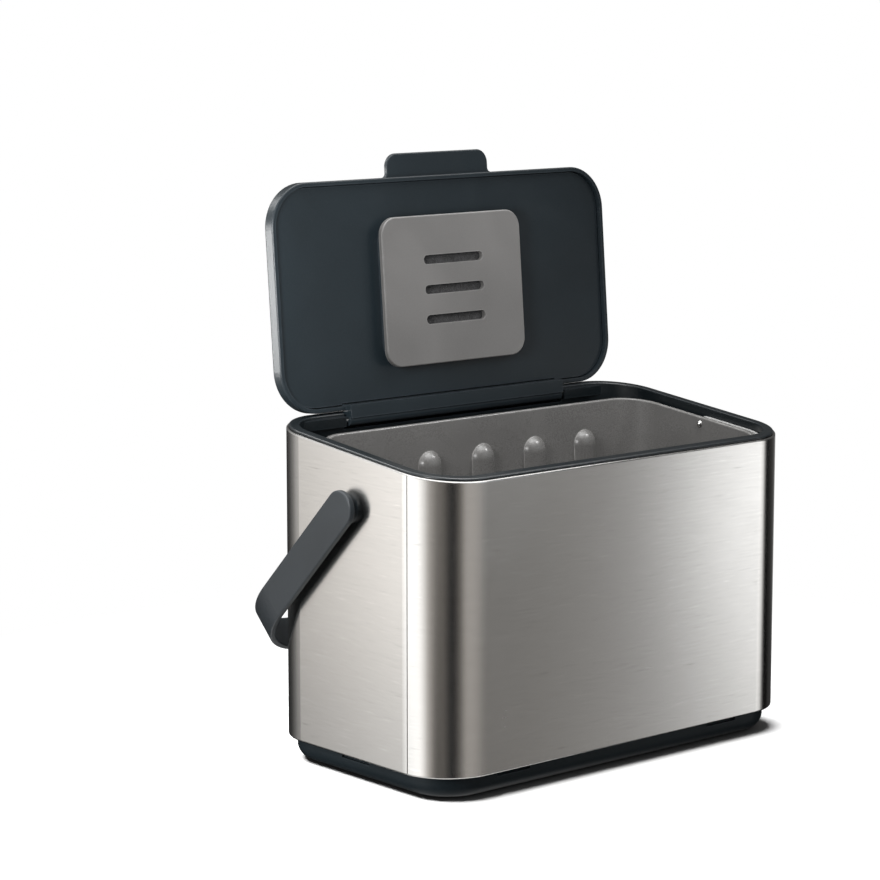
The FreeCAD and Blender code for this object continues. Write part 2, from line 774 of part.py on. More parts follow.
def handle_pin(side):
    """A steel pin from the handle's socket through the bush to the clip inside the wrap."""
    outer = half_width + handle_standoff + pivot_socket - fit_gap
    inner = half_width - sheet - bush_inside - moving_gap - clip_thickness - clip_overhang
    low, high = sorted((side * inner, side * outer))
    return rod(pivot_radius - pivot_gap, low, high, handle_pivot_y, pivot_height)


def handle_bush(side):
    """A plastic bush in the wrap, with a round flange that keeps the strap off the steel."""
    flange_top = half_width + handle_standoff - moving_gap
    barrel_end = half_width - sheet - bush_inside
    flange = rod(bush_flange_radius, half_width, flange_top, handle_pivot_y, pivot_height)
    barrel = rod(bush_barrel_radius, barrel_end, half_width, handle_pivot_y, pivot_height)
    bore = rod(pivot_radius, 0, body_width, handle_pivot_y, pivot_height)
    bush = fuse(flange, barrel).cut(bore)
    return bush if side > 0 else bush.mirror(ORIGIN, X_AXIS)


def handle_clip(side):
    """A push-on clip that keeps the pivot pin in its bush."""
    outer = half_width - sheet - bush_inside - moving_gap
    ring = rod(clip_radius, outer - clip_thickness, outer, handle_pivot_y, pivot_height)
    ring = ring.cut(rod(pivot_radius, 0, body_width, handle_pivot_y, pivot_height))
    return ring if side > 0 else ring.mirror(ORIGIN, X_AXIS)


def build():
    nodes = {
        "outer_shell": outer_shell(),
        "base_tray": base_tray(),
        "top_rim": top_rim(),
        "hinge_pin": hinge_pin(),
        "lid_cover": lid_cover(),
        "lid_liner": lid_liner(),
        "filter_cover": filter_cover(),
        "carbon_filter": carbon_filter(),
        "inner_bucket": inner_bucket(),
        "bucket_bail": bucket_bail(),
        "carry_handle": carry_handle(),
    }
    for number, (x, y) in enumerate(foot_places(), start=1):
        nodes[f"base_foot_{number}"] = base_foot(x, y)
    for name, side in (("left", -1), ("right", 1)):
        nodes[f"bail_rivet_{name}"] = bail_rivet(side)
        nodes[f"handle_pin_{name}"] = handle_pin(side)
        nodes[f"handle_bush_{name}"] = handle_bush(side)
        nodes[f"handle_clip_{name}"] = handle_clip(side)
    return nodes


os.makedirs("parts", exist_ok=True)
for name, shape in build().items():
    print(name, len(shape.Solids), shape.isValid(), round(shape.Volume), shape.BoundBox)
    shape.exportStep(f"parts/{name}.step")
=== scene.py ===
import json
import math

import bmesh
import bpy
from mathutils import Matrix, Vector, noise

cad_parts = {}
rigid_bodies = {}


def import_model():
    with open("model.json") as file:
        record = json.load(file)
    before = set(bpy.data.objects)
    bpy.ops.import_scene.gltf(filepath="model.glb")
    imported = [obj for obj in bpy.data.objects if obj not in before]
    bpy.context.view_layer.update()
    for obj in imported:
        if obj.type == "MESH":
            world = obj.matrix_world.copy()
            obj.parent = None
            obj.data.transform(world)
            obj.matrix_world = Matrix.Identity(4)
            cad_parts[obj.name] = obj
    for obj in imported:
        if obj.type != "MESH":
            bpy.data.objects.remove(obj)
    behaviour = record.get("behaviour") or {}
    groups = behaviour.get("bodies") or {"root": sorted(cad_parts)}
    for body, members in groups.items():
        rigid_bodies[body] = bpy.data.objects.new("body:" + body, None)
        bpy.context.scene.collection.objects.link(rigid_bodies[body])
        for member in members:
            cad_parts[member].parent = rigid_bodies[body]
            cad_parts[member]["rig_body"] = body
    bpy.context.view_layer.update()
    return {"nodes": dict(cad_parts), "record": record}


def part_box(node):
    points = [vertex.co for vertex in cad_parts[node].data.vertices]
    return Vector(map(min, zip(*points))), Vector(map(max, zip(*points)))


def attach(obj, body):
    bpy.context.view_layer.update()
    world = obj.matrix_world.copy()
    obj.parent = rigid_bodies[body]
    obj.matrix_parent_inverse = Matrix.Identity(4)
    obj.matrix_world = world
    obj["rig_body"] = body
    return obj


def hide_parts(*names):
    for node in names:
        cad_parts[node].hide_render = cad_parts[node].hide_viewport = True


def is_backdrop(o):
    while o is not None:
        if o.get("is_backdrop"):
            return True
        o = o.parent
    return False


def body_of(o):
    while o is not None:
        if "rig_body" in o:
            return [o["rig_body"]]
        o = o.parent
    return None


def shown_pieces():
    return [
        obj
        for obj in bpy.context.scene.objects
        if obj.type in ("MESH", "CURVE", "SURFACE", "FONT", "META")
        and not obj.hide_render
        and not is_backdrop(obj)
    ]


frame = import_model()
scene = bpy.context.scene
scene.view_settings.view_transform = "Standard"
nodes = frame["nodes"]

MILLIMETRE = 0.001
# The lid's lean at rest, from the slope of the rim and the lid's opening in degrees
LID_SLOPE, LID_OPENING = 6.275, 101.0
LID_LEAN = math.radians(LID_SLOPE - LID_OPENING)
# The photo's camera: its place in metres, two of its axes, its lens and sensor in millimetres
CAMERA_PLACE = Vector((-1.06486, -1.15852, 0.41730))
CAMERA_BACK = Vector((-0.6440, -0.7488, 0.1569))
CAMERA_RIGHT = Vector((0.7582, -0.6521, 0.0))
CAMERA_LENS = 120.24
CAMERA_SENSOR = 36.0
# The felt pad in metres, its crown and pinch as shares, its waves per metre
PAD_SIZE = Vector((0.0841, 0.0613, 0.0042))
PAD_CORNER = 0.0042
PAD_CUTS = 23
PAD_CROWN, PAD_PINCH, PINCH_POWER = 0.10, 0.008, 4
PAD_EDGE, PAD_RIPPLE = 3 * MILLIMETRE, 0.10 * MILLIMETRE
PAD_WAVES = 180.0
FOOT_SIDES = 40
# Radius and height of a foot's outline from the middle of its sole, in millimetres
FOOT_PROFILE = (
    (1.1, 0.35), (1.4, 0.02), (1.6, 0.0), (2.3, 0.0), (2.5, 0.02), (2.8, 0.35),
    (3.4, 0.35), (3.7, 0.02), (3.9, 0.0), (4.6, 0.0), (4.8, 0.02), (5.1, 0.35),
    (5.5, 0.35), (5.8, 0.02), (6.0, 0.0), (6.5, 0.0), (6.8, 0.1), (6.95, 0.35),
    (6.98, 0.6), (6.98, 1.8), (6.9, 1.98), (6.7, 2.0),
)
# How a moulding varies: shares of its colour, and steps of its roughness
DEEPER, PALER, SPECKLED = 0.82, 1.14, 0.16
DULLED, ROUGHENED, POLISHED = 0.07, 0.05, -0.08
GRAIN_STRENGTH = 0.35
# The part of a noise's values that an effect spreads over 0 to 1
GRAIN_SPREAD, BREAK_SPREAD = (0.3, 0.7), (0.35, 0.65)
STROKE_SPREAD, SMEAR_SPREAD = (0.28, 0.72), (0.52, 0.72)
# Light of the studio, and the floor's tones and fade to white
WORLD_LIGHT, ROOF_LIGHT = 0.55, 2.4
FLOOR_REACH = 6.0
FLOOR_TONE, FLOOR_SEEN = 0.06, 0.12
FADE_FROM, FADE_TO = 0.18, 0.42


# Small helpers for node trees

def place(tree, kind, values=None, **settings):
    """A new node with its settings, and the values of its inputs by name or number."""
    node = tree.nodes.new(kind)
    for name, value in settings.items():
        setattr(node, name, value)
    for name, value in (values or {}).items():
        node.inputs[name].default_value = value
    return node


def sum_of(tree, operation, first, second=None, third=None, clamp=False):
    """A Math node, whose inputs are numbers or sockets."""
    node = place(tree, "ShaderNodeMath", operation=operation, use_clamp=clamp)
    for number, entry in enumerate((first, second, third)):
        if entry is None:
            continue
        if isinstance(entry, (int, float)):
            node.inputs[number].default_value = entry
        else:
            tree.links.new(entry, node.inputs[number])
    return node.outputs[0]


def blend_colour(tree, share, first, second, way="MIX"):
    """A colour mix, whose inputs are colours or sockets."""
    node = place(tree, "ShaderNodeMix", data_type="RGBA", blend_type=way)
    for number, entry in ((0, share), (6, first), (7, second)):
        if isinstance(entry, bpy.types.NodeSocket):
            tree.links.new(entry, node.inputs[number])
        elif number == 0:
            node.inputs[number].default_value = entry
        else:
            node.inputs[number].default_value = (*entry, 1.0)
    return node.outputs[2]


def between(tree, value, low, high, to_low=0.0, to_high=1.0):
    """A value taken from one range to another, held at its ends."""
    node = place(tree, "ShaderNodeMapRange", {1: low, 2: high, 3: to_low, 4: to_high})
    tree.links.new(value, node.inputs[0])
    return node.outputs[0]


def stretched_noise(tree, scale, detail=2.0, roughness=0.5):
    """Noise on the piece's own coordinates, stretched by a scale for each direction."""
    where = place(tree, "ShaderNodeTexCoord")
    stretch = place(tree, "ShaderNodeMapping", {"Scale": scale})
    cloud = place(tree, "ShaderNodeTexNoise", {
        "Scale": 1.0, "Detail": detail, "Roughness": roughness})
    tree.links.new(where.outputs["Object"], stretch.inputs["Vector"])
    tree.links.new(stretch.outputs["Vector"], cloud.inputs["Vector"])
    return cloud


def new_group(name, entries, results):
    """A shader node group with named number inputs and outputs."""
    tree = bpy.data.node_groups.new(name, "ShaderNodeTree")
    for entry, value in entries.items():
        socket = tree.interface.new_socket(entry, in_out="INPUT", socket_type="NodeSocketFloat")
        socket.default_value = value
    for result in results:
        tree.interface.new_socket(result, in_out="OUTPUT", socket_type="NodeSocketFloat")
    inside = tree.nodes.new("NodeGroupInput")
    outside = tree.nodes.new("NodeGroupOutput")
    return tree, inside, outside


# Effects that several finishes share

def make_moulded_grain():
    """The fine spark-eroded grain of a mould, and the slow unevenness of a moulded wall."""
    rates = {"Grain per metre": 2500.0, "Flow per metre": 16.0}
    tree, inside, outside = new_group("moulded_grain", rates, ("Height", "Speckle", "Flow"))
    pits_per_grain, pit_depth = 0.6, 0.5
    where = place(tree, "ShaderNodeTexCoord")
    grain = place(tree, "ShaderNodeTexNoise", {"Detail": 3.0, "Roughness": 0.55})
    pits = place(tree, "ShaderNodeTexVoronoi", feature="SMOOTH_F1")
    flow = place(tree, "ShaderNodeTexNoise", {
        "Detail": 2.0, "Roughness": 0.5, "Distortion": 0.6})
    for texture in (grain, pits, flow):
        tree.links.new(where.outputs["Object"], texture.inputs["Vector"])
    tree.links.new(inside.outputs["Grain per metre"], grain.inputs["Scale"])
    pit_scale = sum_of(tree, "MULTIPLY", inside.outputs["Grain per metre"], pits_per_grain)
    tree.links.new(pit_scale, pits.inputs["Scale"])
    tree.links.new(inside.outputs["Flow per metre"], flow.inputs["Scale"])
    height = sum_of(
        tree, "MULTIPLY_ADD", pits.outputs["Distance"], pit_depth, grain.outputs["Fac"])
    tree.links.new(height, outside.inputs["Height"])
    for result, texture in (("Speckle", grain), ("Flow", flow)):
        spread = between(tree, texture.outputs["Fac"], *GRAIN_SPREAD)
        tree.links.new(spread, outside.inputs[result])
    return tree


def make_wear_and_highlight_mask():
    """A mask of edges that hands and worktops rub and of a painted highlight along them, broken up
    by noise.
    """
    sizes = {"Width": 0.0012, "Breaks per metre": 160.0, "Amount": 1.0}
    tree, inside, outside = new_group("edge_wear_and_highlight", sizes, ("Mask",))
    flat, sharp, least_worn = 0.998, 0.93, 0.25
    softened = place(tree, "ShaderNodeBevel", samples=4)
    plain = place(tree, "ShaderNodeNewGeometry")
    turn = place(tree, "ShaderNodeVectorMath", operation="DOT_PRODUCT")
    where = place(tree, "ShaderNodeTexCoord")
    breaks = place(tree, "ShaderNodeTexNoise", {"Detail": 4.0, "Roughness": 0.6})
    tree.links.new(inside.outputs["Width"], softened.inputs["Radius"])
    tree.links.new(softened.outputs["Normal"], turn.inputs[0])
    tree.links.new(plain.outputs["Normal"], turn.inputs[1])
    tree.links.new(where.outputs["Object"], breaks.inputs["Vector"])
    tree.links.new(inside.outputs["Breaks per metre"], breaks.inputs["Scale"])
    edge = between(tree, turn.outputs["Value"], flat, sharp)
    broken = between(tree, breaks.outputs["Fac"], *BREAK_SPREAD, to_low=least_worn)
    # The broken edge mask marks rubbed edges and a painted highlight along them
    rubbed_and_highlit = sum_of(tree, "MULTIPLY", edge, broken)
    mask = sum_of(tree, "MULTIPLY", rubbed_and_highlit, inside.outputs["Amount"], clamp=True)
    tree.links.new(mask, outside.inputs["Mask"])
    return tree


def make_brush_strokes():
    """Level strokes of the brushing belt: long faint lines, sparse short dashes and slow bands."""
    sizes = {"Strokes per metre": 90.0, "Lines per metre": 1200.0}
    tree, inside, outside = new_group("brush_strokes", sizes, ("Line", "Dash", "Sweep"))
    dash_gain, dash_middle = 11.0, 0.5
    where = place(tree, "ShaderNodeTexCoord")
    fields = {}
    # Share of the rate along the strokes, share across them, and detail
    shapes = {"Line": (0.14, 1.25, 2.0), "Dash": (1.0, 1.0, 1.0), "Sweep": (0.08, 0.09, 2.0)}
    for result, (along, across, detail) in shapes.items():
        rates = place(tree, "ShaderNodeCombineXYZ")
        axes = (("X", "Strokes", along), ("Y", "Strokes", along), ("Z", "Lines", across))
        for axis, kind, share in axes:
            rate = sum_of(tree, "MULTIPLY", inside.outputs[kind + " per metre"], share)
            tree.links.new(rate, rates.inputs[axis])
        stretch = place(tree, "ShaderNodeVectorMath", operation="MULTIPLY")
        cloud = place(tree, "ShaderNodeTexNoise", {
            "Scale": 1.0, "Detail": detail, "Roughness": 0.6})
        tree.links.new(where.outputs["Object"], stretch.inputs[0])
        tree.links.new(rates.outputs["Vector"], stretch.inputs[1])
        tree.links.new(stretch.outputs["Vector"], cloud.inputs["Vector"])
        fields[result] = cloud.outputs["Fac"]
    for result in ("Line", "Sweep"):
        spread = between(tree, fields[result], *STROKE_SPREAD)
        tree.links.new(spread, outside.inputs[result])
    above = sum_of(tree, "SUBTRACT", fields["Dash"], dash_middle)
    squared = sum_of(tree, "MULTIPLY", above, above)
    sparse = sum_of(tree, "MULTIPLY", squared, above)
    dashes = sum_of(tree, "MULTIPLY_ADD", sparse, dash_gain, dash_middle, clamp=True)
    tree.links.new(dashes, outside.inputs["Dash"])
    return tree


def make_hand_marks():
    """Soft smears and prints that dull a shine here and there."""
    tree, inside, outside = new_group("hand_marks", {"Marks per metre": 24.0}, ("Dulling",))
    where = place(tree, "ShaderNodeTexCoord")
    smear = place(tree, "ShaderNodeTexNoise", {
        "Detail": 5.0, "Roughness": 0.62, "Distortion": 0.8})
    tree.links.new(where.outputs["Object"], smear.inputs["Vector"])
    tree.links.new(inside.outputs["Marks per metre"], smear.inputs["Scale"])
    dulled = between(tree, smear.outputs["Fac"], *SMEAR_SPREAD)
    tree.links.new(dulled, outside.inputs["Dulling"])
    return tree


MOULDED_GRAIN = make_moulded_grain()
WEAR_AND_HIGHLIGHT = make_wear_and_highlight_mask()
BRUSH_STROKES = make_brush_strokes()
HAND_MARKS = make_hand_marks()


def use_effect(tree, effect, values=None):
    """Place a shared effect in a finish with its own values."""
    node = tree.nodes.new("ShaderNodeGroup")
    node.node_tree = effect
    for name, value in (values or {}).items():
        node.inputs[name].default_value = value
    return node


def new_finish(name):
    """An empty material with its surface shader."""
    finish = bpy.data.materials.new(name)
    finish.use_nodes = True
    tree = finish.node_tree
    tree.nodes.clear()
    shader = tree.nodes.new("ShaderNodeBsdfPrincipled")
    output = tree.nodes.new("ShaderNodeOutputMaterial")
    tree.links.new(shader.outputs["BSDF"], output.inputs["Surface"])
    return finish, tree, shader


def raise_surface(tree, shader, height, depth, strength):
    """Bump from a height, in metres."""
    bump = place(tree, "ShaderNodeBump", {"Strength": strength, "Distance": depth})
    tree.links.new(height, bump.inputs["Height"])
    tree.links.new(bump.outputs["Normal"], shader.inputs["Normal"])


# Finishes of the bin

def moulded_plastic(name, colour, rubbed_and_highlit, shine, grain, depth, wear_and_highlight=0.6, gloss=0.5):
    """Moulded polypropylene: fine grain, uneven flow, hand marks, and paler edges that are partly
    rubbed and partly a painted highlight.
    """
    finish, tree, shader = new_finish(name)
    surface = use_effect(tree, MOULDED_GRAIN, {"Grain per metre": grain})
    edges = use_effect(tree, WEAR_AND_HIGHLIGHT, {"Amount": wear_and_highlight})
    marks = use_effect(tree, HAND_MARKS)
    deeper = tuple(DEEPER * part for part in colour)
    paler = tuple(PALER * part for part in colour)
    flow = blend_colour(tree, surface.outputs["Flow"], deeper, paler)
    speckle = sum_of(tree, "MULTIPLY", surface.outputs["Speckle"], SPECKLED)
    grained = blend_colour(tree, speckle, flow, rubbed_and_highlit)
    # Edges pale towards the rubbed colour: partly wear, partly a painted highlight
    worn_and_highlit = blend_colour(tree, edges.outputs["Mask"], grained, rubbed_and_highlit)
    tree.links.new(worn_and_highlit, shader.inputs["Base Color"])
    matt = sum_of(tree, "MULTIPLY_ADD", marks.outputs["Dulling"], DULLED, shine)
    speckled = sum_of(tree, "MULTIPLY_ADD", surface.outputs["Speckle"], ROUGHENED, matt)
    polished = sum_of(tree, "MULTIPLY_ADD", edges.outputs["Mask"], POLISHED, speckled)
    tree.links.new(polished, shader.inputs["Roughness"])
    raise_surface(tree, shader, surface.outputs["Height"], depth, GRAIN_STRENGTH)
    shader.inputs["Specular IOR Level"].default_value = gloss
    return finish


def brushed_steel():
    """Stainless sheet brushed level round the body."""
    finish, tree, shader = new_finish("brushed_steel_sheet")
    strokes = use_effect(tree, BRUSH_STROKES)
    marks = use_effect(tree, HAND_MARKS, {"Marks per metre": 18.0})
    edges = use_effect(tree, WEAR_AND_HIGHLIGHT, {"Width": 0.0007, "Amount": 0.5})
    dim_steel, clear_steel = (0.590, 0.578, 0.558), (0.810, 0.797, 0.775)
    line_tone, sweep_tone = (0.50, 0.488, 0.468), (0.60, 0.585, 0.56)
    rubbed_and_highlit_tone = (0.86, 0.85, 0.83)
    line_share, sweep_share, line_height = 0.06, 0.08, 0.5
    smoothest, line_matt, mark_matt = 0.24, 0.02, 0.02
    dashed = blend_colour(tree, strokes.outputs["Dash"], dim_steel, clear_steel)
    lined = sum_of(tree, "MULTIPLY", strokes.outputs["Line"], line_share)
    shaded = blend_colour(tree, lined, dashed, line_tone)
    swept = sum_of(tree, "MULTIPLY", strokes.outputs["Sweep"], sweep_share)
    toned = blend_colour(tree, swept, shaded, sweep_tone)
    # Edges pale towards a brighter tone: partly wear, partly a painted highlight
    bright = blend_colour(tree, edges.outputs["Mask"], toned, rubbed_and_highlit_tone)
    tree.links.new(bright, shader.inputs["Base Color"])
    rough = sum_of(tree, "MULTIPLY_ADD", strokes.outputs["Line"], line_matt, smoothest)
    rough = sum_of(tree, "MULTIPLY_ADD", marks.outputs["Dulling"], mark_matt, rough)
    tree.links.new(rough, shader.inputs["Roughness"])
    height = sum_of(
        tree, "MULTIPLY_ADD", strokes.outputs["Line"], line_height, strokes.outputs["Dash"])
    raise_surface(tree, shader, height, depth=0.000006, strength=0.3)
    shader.inputs["Metallic"].default_value = 1.0
    shader.inputs["Anisotropic"].default_value = 0.9
    shader.inputs["Anisotropic Rotation"].default_value = 0.25
    return finish


def bright_steel():
    """Drawn and polished steel of the pins, rivets and clips."""
    finish, tree, shader = new_finish("bright_drawn_steel")
    strokes = use_effect(tree, BRUSH_STROKES, {
        "Strokes per metre": 900.0, "Lines per metre": 4200.0})
    marks = use_effect(tree, HAND_MARKS, {"Marks per metre": 240.0})
    dim_steel, clear_steel = (0.62, 0.615, 0.60), (0.74, 0.735, 0.72)
    stain_tone, stain_share = (0.48, 0.46, 0.43), 0.35
    smoothest, stain_matt = 0.20, 0.12
    drawn = blend_colour(tree, strokes.outputs["Line"], dim_steel, clear_steel)
    stained = sum_of(tree, "MULTIPLY", marks.outputs["Dulling"], stain_share)
    toned = blend_colour(tree, stained, drawn, stain_tone)
    tree.links.new(toned, shader.inputs["Base Color"])
    rough = sum_of(tree, "MULTIPLY_ADD", marks.outputs["Dulling"], stain_matt, smoothest)
    tree.links.new(rough, shader.inputs["Roughness"])
    raise_surface(tree, shader, strokes.outputs["Line"], depth=0.00001, strength=0.25)
    shader.inputs["Metallic"].default_value = 1.0
    return finish


def foot_rubber():
    """Soft matt rubber with dust in its grain."""
    finish, tree, shader = new_finish("soft_foot_rubber")
    surface = use_effect(tree, MOULDED_GRAIN, {
        "Grain per metre": 3600.0, "Flow per metre": 90.0})
    marks = use_effect(tree, HAND_MARKS, {"Marks per metre": 180.0})
    black, sooty = (0.016, 0.016, 0.017), (0.028, 0.028, 0.028)
    dust_tone, dust_share = (0.09, 0.085, 0.078), 0.4
    smoothest, grain_matt = 0.78, 0.1
    mixed = blend_colour(tree, surface.outputs["Flow"], black, sooty)
    dust = sum_of(tree, "MULTIPLY", marks.outputs["Dulling"], dust_share)
    dusty = blend_colour(tree, dust, mixed, dust_tone)
    tree.links.new(dusty, shader.inputs["Base Color"])
    rough = sum_of(tree, "MULTIPLY_ADD", surface.outputs["Speckle"], grain_matt, smoothest)
    tree.links.new(rough, shader.inputs["Roughness"])
    raise_surface(tree, shader, surface.outputs["Height"], depth=0.00012, strength=0.5)
    return finish


def carbon_felt():
    """Needled felt, dark with carbon, with crossing fibres and needle pits."""
    finish, tree, shader = new_finish("needled_carbon_felt")
    fine, coarse, through = 2600.0, 420.0, 900.0
    black, sooty, pale_tuft = (0.012, 0.012, 0.013), (0.062, 0.062, 0.064), (0.085, 0.085, 0.088)
    fibre_spread, tuft_spread, matt_spread = (0.45, 0.75), (0.35, 0.7), (0.4, 0.8)
    tuft_share, tuft_height = 0.45, 0.8
    pit_matt, fibre_matt = 0.95, 0.8
    across = stretched_noise(tree, (fine, coarse, through), detail=3.0, roughness=0.6)
    along = stretched_noise(tree, (coarse, fine, through), detail=3.0, roughness=0.6)
    tufts = stretched_noise(tree, (300.0, 300.0, 300.0), detail=4.0, roughness=0.65)
    fibres = sum_of(tree, "MAXIMUM", across.outputs["Fac"], along.outputs["Fac"])
    light = between(tree, fibres, *fibre_spread)
    threads = blend_colour(tree, light, black, sooty)
    clump = between(tree, tufts.outputs["Fac"], *tuft_spread, to_high=tuft_share)
    clumped = blend_colour(tree, clump, threads, pale_tuft)
    tree.links.new(clumped, shader.inputs["Base Color"])
    rough = between(tree, fibres, *matt_spread, pit_matt, fibre_matt)
    tree.links.new(rough, shader.inputs["Roughness"])
    height = sum_of(tree, "MULTIPLY_ADD", tufts.outputs["Fac"], tuft_height, fibres)
    raise_surface(tree, shader, height, depth=0.0005, strength=0.8)
    shader.inputs["Sheen Weight"].default_value = 0.35
    shader.inputs["Sheen Roughness"].default_value = 0.5
    return finish


FINISHES = {
    "brushed_steel": brushed_steel(),
    "anthracite_plastic": moulded_plastic(
        "anthracite_moulding", (0.0066, 0.0108, 0.0136), (0.034, 0.041, 0.048),
        shine=0.32, grain=2600.0, depth=0.00006, gloss=0.32),
    "handle_plastic": moulded_plastic(
        "handle_moulding", (0.0180, 0.0238, 0.0288), (0.066, 0.075, 0.083),
        shine=0.42, grain=2400.0, depth=0.00006, wear_and_highlight=0.8),
    "grey_plastic": moulded_plastic(
        "cover_moulding", (0.150, 0.146, 0.142), (0.32, 0.315, 0.31),
        shine=0.38, grain=2800.0, depth=0.00005),
    # The bucket's pale edge colour and full edge amount also paint the highlight on its lip and
    # rib edges
    "bucket_plastic": moulded_plastic(
        "bucket_moulding", (0.136, 0.133, 0.129), (0.46, 0.452, 0.44),
        shine=0.25, grain=2200.0, depth=0.00004, wear_and_highlight=1.0),
    "light_plastic": moulded_plastic(
        "bail_moulding", (0.42, 0.42, 0.415), (0.60, 0.60, 0.59),
        shine=0.36, grain=2600.0, depth=0.00004),
    "filter_felt": carbon_felt(),
    "foot_rubber": foot_rubber(),
    "bright_steel": bright_steel(),
}
# The rim and the base are the lid's plastic, smoother, the base the duller of the two; both are
# coloured darker than the lid as painted shade
OWN_FINISHES = {
    "top_rim": moulded_plastic(
        "shaded_rim_moulding", (0.0040, 0.0070, 0.0086), (0.030, 0.036, 0.042),
        shine=0.28, grain=2600.0, depth=0.00004, gloss=0.42),
    "base_tray": moulded_plastic(
        "shaded_moulding", (0.0046, 0.0076, 0.0094), (0.030, 0.036, 0.042),
        shine=0.34, grain=2600.0, depth=0.00004, gloss=0.10),
}
for part in frame["record"]["subparts"]:
    finish = OWN_FINISHES.get(part["node"], FINISHES[part["material_slot"]])
    nodes[part["node"]].material_slots[0].material = finish


# Pieces made here

def new_piece(name, mesh, body):
    """A finished mesh as a piece that rides on a body."""
    piece = bpy.data.objects.new(name, mesh)
    scene.collection.objects.link(piece)
    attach(piece, body)
    return piece


def shown_mesh(thing):
    """The plain mesh of an object as its modifiers leave it."""
    depsgraph = bpy.context.evaluated_depsgraph_get()
    return bpy.data.meshes.new_from_object(thing.evaluated_get(depsgraph))


def felt_pad():
    """The die-cut felt filter: crowned faces, soft cut edges and a slightly wavy surface."""
    low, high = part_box("carbon_filter")
    to_lid = Matrix.Translation((low + high) / 2) @ Matrix.Rotation(LID_LEAN, 4, "X")
    half = PAD_SIZE / 2
    shape = bmesh.new()
    bmesh.ops.create_cube(shape, size=2.0)
    bmesh.ops.subdivide_edges(shape, edges=shape.edges[:], cuts=PAD_CUTS, use_grid_fill=True)
    for vertex in shape.verts:
        level = abs(vertex.co.z)
        on_face = level > 0.5
        across, along, up = half.x * vertex.co.x, half.y * vertex.co.y, half.z * vertex.co.z
        over_x = max(0.0, abs(across) - (half.x - PAD_CORNER))
        over_y = max(0.0, abs(along) - (half.y - PAD_CORNER))
        reach = math.hypot(over_x, over_y)
        if over_x and over_y:
            square = max(over_x, over_y)
            across = math.copysign(half.x - PAD_CORNER + over_x * square / reach, across)
            along = math.copysign(half.y - PAD_CORNER + over_y * square / reach, along)
        from_edge = min(half.x - abs(across), half.y - abs(along))
        crown = 1.0 - PAD_CROWN * math.exp(-max(0.0, from_edge) / PAD_EDGE)
        pinch = 1.0 - PAD_PINCH * level ** PINCH_POWER
        ripple = PAD_RIPPLE * noise.noise(Vector((across, along, up)) * PAD_WAVES)
        lift = up * crown + ripple * on_face
        vertex.co = Vector((across * pinch, along * pinch, lift))
    bmesh.ops.recalc_face_normals(shape, faces=shape.faces[:])
    shape.transform(to_lid)
    mesh = bpy.data.meshes.new("felt_filter_pad")
    shape.to_mesh(mesh)
    shape.free()
    mesh.materials.append(FINISHES["filter_felt"])
    mesh.shade_smooth()
    pad = new_piece("felt_filter_pad", mesh, "filter")
    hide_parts("carbon_filter")
    return pad


def new_tree(name, entries):
    """A Geometry Nodes tree with a mesh going in and out, and named inputs for its sizes."""
    tree = bpy.data.node_groups.new(name, "GeometryNodeTree")
    tree.interface.new_socket("Mesh", in_out="INPUT", socket_type="NodeSocketGeometry")
    for entry, kind in entries.items():
        tree.interface.new_socket(entry, in_out="INPUT", socket_type="NodeSocket" + kind)
    tree.interface.new_socket("Mesh", in_out="OUTPUT", socket_type="NodeSocketGeometry")
    return tree, tree.nodes.new("NodeGroupInput"), tree.nodes.new("NodeGroupOutput")


def end_tree(tree, instances, inside, outside):
    """Make instances real, smooth them and give them the finish that goes in."""
    real = place(tree, "GeometryNodeRealizeInstances")
    smooth = place(tree, "GeometryNodeSetShadeSmooth")
    coat = place(tree, "GeometryNodeSetMaterial")
    tree.links.new(instances, real.inputs["Geometry"])
    tree.links.new(real.outputs["Geometry"], smooth.inputs["Geometry"])
    tree.links.new(smooth.outputs["Geometry"], coat.inputs["Geometry"])
    tree.links.new(inside.outputs["Finish"], coat.inputs["Material"])
    tree.links.new(coat.outputs["Geometry"], outside.inputs["Mesh"])


def grow(name, mesh, tree, sizes):
    """Run a tree on a mesh and keep the result as a plain mesh."""
    source = bpy.data.objects.new(name + "_source", mesh)
    scene.collection.objects.link(source)
    modifier = source.modifiers.new(name, "NODES")
    modifier.node_group = tree
    for item in tree.interface.items_tree:
        if item.in_out == "INPUT" and item.name in sizes:
            modifier[item.identifier] = sizes[item.name]
    grown = shown_mesh(source)
    grown.name = name
    source.modifiers.remove(modifier)
    bpy.data.objects.remove(source)
    return grown


